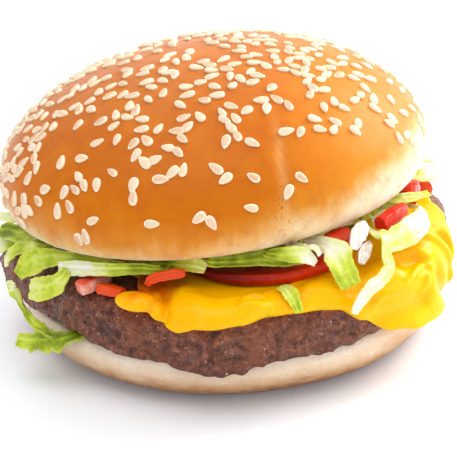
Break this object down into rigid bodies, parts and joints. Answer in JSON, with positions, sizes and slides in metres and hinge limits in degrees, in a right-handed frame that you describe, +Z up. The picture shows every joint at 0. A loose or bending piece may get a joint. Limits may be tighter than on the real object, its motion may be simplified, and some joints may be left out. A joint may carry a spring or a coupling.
{
  "type": "hamburger",
  "caption": "Round sesame bun with a beef patty, melted cheese, tomato, onion and shredded lettuce that show round the side.",
  "frame": {"origin": "centre of the heel's flat underside, where the hamburger stands", "axes": "+Z up through the bun; -Y is the front that the picture shows; +X is the picture's right"},
  "size_m": [0.1086, 0.1069, 0.0658],
  "materials": {
    "crust": "golden-brown baked crust with a slight gloss and pale sesame seeds",
    "crumb": "pale soft crust",
    "meat": "browned, coarse and slightly greasy",
    "cheese": "glossy melted cheese",
    "tomato": "wet cut tomato",
    "onion": "wet and partly clear",
    "lettuce": "fresh leaf, pale at the ribs"
  },
  "bodies": {
    "root": {"bun_heel": "crumb", "bun_crown": "crust", "patty": "meat", "cheese": "cheese", "tomato_slice_front": "tomato", "tomato_slice_right": "tomato", "tomato_slice_left": "tomato", "tomato_wedge_left": "tomato", "tomato_wedge_front_left": "tomato", "tomato_wedge_front_right": "tomato", "tomato_wedge_right": "tomato", "tomato_wedge_far_right": "tomato", "tomato_wedge_back_right": "tomato", "tomato_strip": "tomato", "onion_sliver_upper": "onion", "onion_sliver_lower": "onion", "lettuce": "lettuce", "lettuce_lower": "lettuce", "lettuce_bit": "lettuce"}
  },
  "joints": []
}
